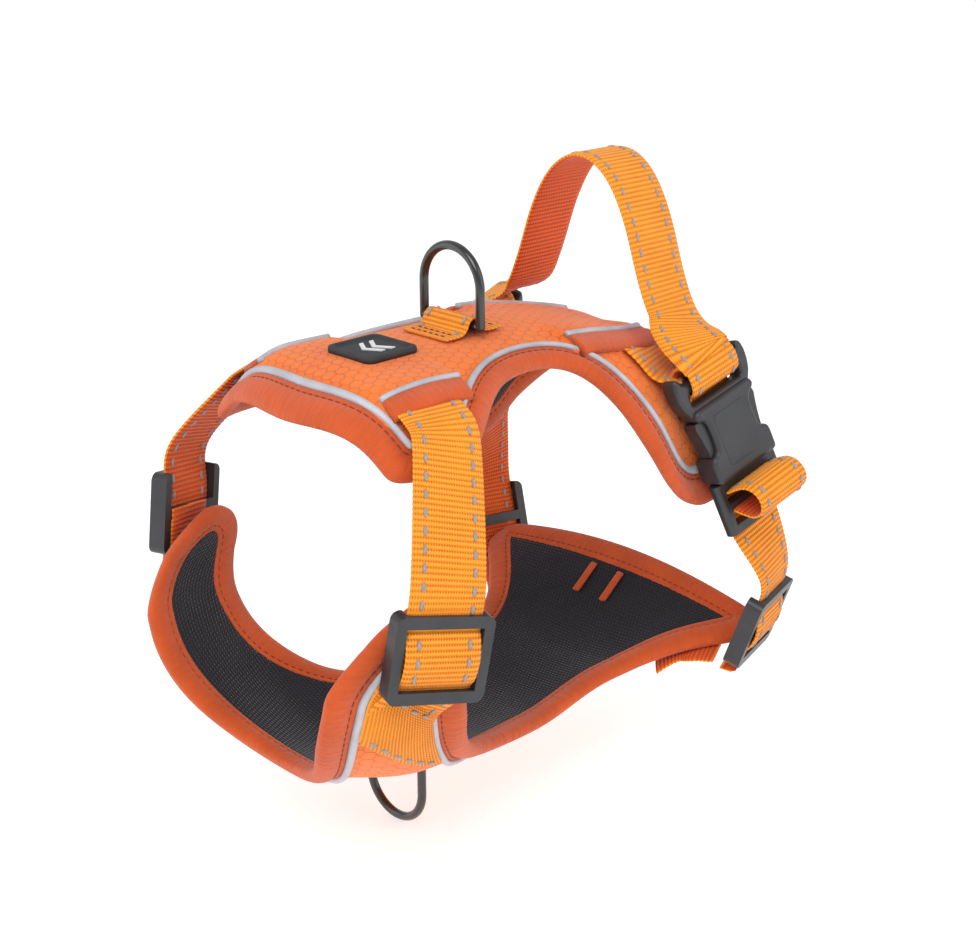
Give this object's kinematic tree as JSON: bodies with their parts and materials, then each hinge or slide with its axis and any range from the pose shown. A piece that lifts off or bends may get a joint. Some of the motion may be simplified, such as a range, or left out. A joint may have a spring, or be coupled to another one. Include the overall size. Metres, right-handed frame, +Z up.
{
  "type": "dog harness",
  "caption": "Padded no-pull dog harness with webbing straps, release buckles, strap adjusters, lift handle and leash rings on back and chest.",
  "frame": {"origin": "middle of the back panel's outer face, under the leash ring, on the dog's spine", "axes": "+X to the dog's left, -Y towards its head, +Z up"},
  "size_m": [0.1822, 0.2077, 0.2343],
  "materials": {
    "shell_fabric": "matt woven polyester with a fine honeycomb emboss",
    "mesh_lining": "matt black air mesh",
    "binding_tape": "matt woven edge tape",
    "piping": "smooth reflective grey cord",
    "webbing": "ribbed polyester webbing with grey reflective stitches",
    "plastic": "satin black acetal",
    "ring_metal": "gloss black coated steel wire",
    "rubber": "matt dark grey moulded rubber"
  },
  "bodies": {
    "root": {"back_shell": "shell_fabric", "back_lining": "mesh_lining", "back_binding": "binding_tape", "back_piping": "piping", "rubber_patch": "rubber", "back_ring_keeper": "webbing", "handle_fold_left": "webbing", "handle_fold_right": "webbing", "wing_webbing_left": "webbing", "wing_webbing_right": "webbing", "pocket_edge_front_left": "binding_tape", "pocket_edge_front_right": "binding_tape", "pocket_edge_rear_left": "binding_tape", "pocket_edge_rear_right": "binding_tape", "buckle_socket_left": "plastic", "buckle_socket_right": "plastic", "girth_tail_left": "webbing", "girth_tail_right": "webbing", "chest_shell": "shell_fabric", "chest_lining": "mesh_lining", "chest_binding": "binding_tape", "chest_piping": "piping", "chest_ring_keeper": "webbing", "lining_slots": "binding_tape", "chest_band_left": "webbing", "chest_band_right": "webbing", "neck_strap_left": "webbing", "neck_strap_right": "webbing", "neck_anchor_left": "webbing", "neck_anchor_right": "webbing"},
    "back_ring": {"back_ring": "ring_metal"},
    "chest_ring": {"chest_ring": "ring_metal"},
    "handle": {"handle_webbing": "webbing"},
    "plug_left": {"buckle_plug_left": "plastic", "girth_strap_left": "webbing", "girth_loop_left": "webbing"},
    "prong_rear_left": {"prong_rear_left": "plastic"},
    "prong_front_left": {"prong_front_left": "plastic"},
    "girth_adjuster_left": {"girth_adjuster_left": "plastic"},
    "neck_adjuster_left": {"neck_adjuster_left": "plastic"},
    "plug_right": {"buckle_plug_right": "plastic", "girth_strap_right": "webbing", "girth_loop_right": "webbing"},
    "prong_rear_right": {"prong_rear_right": "plastic"},
    "prong_front_right": {"prong_front_right": "plastic"},
    "girth_adjuster_right": {"girth_adjuster_right": "plastic"},
    "neck_adjuster_right": {"neck_adjuster_right": "plastic"}
  },
  "joints": [
    {"name": "back_ring_swing", "type": "hinge", "parent": "root", "child": "back_ring", "pos_m": [0, 0, 0.00335], "axis": [1, 0, 0], "range_deg": [-80, 80]},
    {"name": "chest_ring_swing", "type": "hinge", "parent": "root", "child": "chest_ring", "pos_m": [0, -0.03, -0.1525], "axis": [1, 0, 0], "range_deg": [-70, 70]},
    {"name": "handle_tilt", "type": "hinge", "parent": "root", "child": "handle", "pos_m": [0, 0.076, -0.009], "axis": [1, 0, 0], "range_deg": [-30, 30]},
    {"name": "plug_left_release", "type": "slide", "parent": "root", "child": "plug_left", "axis": [0.3007, 0.2361, -0.924], "range_m": [0, 0.027]},
    {"name": "prong_rear_left_bend", "type": "hinge", "parent": "plug_left", "child": "prong_rear_left", "pos_m": [0.0661, 0.0907, -0.04965], "axis": [0.9519, -0.1338, 0.2756], "range_deg": [0, 12.48]},
    {"name": "prong_front_left_bend", "type": "hinge", "parent": "plug_left", "child": "prong_front_left", "pos_m": [0.06487, 0.07049, -0.05521], "axis": [0.9519, -0.1338, 0.2756], "range_deg": [-12.48, 0]},
    {"name": "girth_adjuster_left_slide", "type": "slide", "parent": "plug_left", "child": "girth_adjuster_left", "axis": [0.2985, 0.08, 0.9511], "range_m": [-0.002, 0.006]},
    {"name": "neck_adjuster_left_slide", "type": "slide", "parent": "root", "child": "neck_adjuster_left", "axis": [0.0594, 0.1632, 0.9848], "range_m": [-0.006, 0.006]},
    {"name": "plug_right_release", "type": "slide", "parent": "root", "child": "plug_right", "axis": [-0.3007, 0.2361, -0.924], "range_m": [0, 0.027]},
    {"name": "prong_rear_right_bend", "type": "hinge", "parent": "plug_right", "child": "prong_rear_right", "pos_m": [-0.0661, 0.0907, -0.04965], "axis": [0.9519, 0.1338, -0.2756], "range_deg": [0, 12.48]},
    {"name": "prong_front_right_bend", "type": "hinge", "parent": "plug_right", "child": "prong_front_right", "pos_m": [-0.06487, 0.07049, -0.05521], "axis": [0.9519, 0.1338, -0.2756], "range_deg": [-12.48, 0]},
    {"name": "girth_adjuster_right_slide", "type": "slide", "parent": "plug_right", "child": "girth_adjuster_right", "axis": [-0.2985, 0.08, 0.9511], "range_m": [-0.002, 0.006]},
    {"name": "neck_adjuster_right_slide", "type": "slide", "parent": "root", "child": "neck_adjuster_right", "axis": [-0.0594, 0.1632, 0.9848], "range_m": [-0.018, 0.006]}
  ],
  "couplings": [
    {"joint": "prong_rear_left_bend", "follows": "plug_left_release", "rad_per_m": 8},
    {"joint": "prong_front_left_bend", "follows": "plug_left_release", "rad_per_m": -8},
    {"joint": "prong_rear_right_bend", "follows": "plug_right_release", "rad_per_m": 8},
    {"joint": "prong_front_right_bend", "follows": "plug_right_release", "rad_per_m": -8}
  ]
}
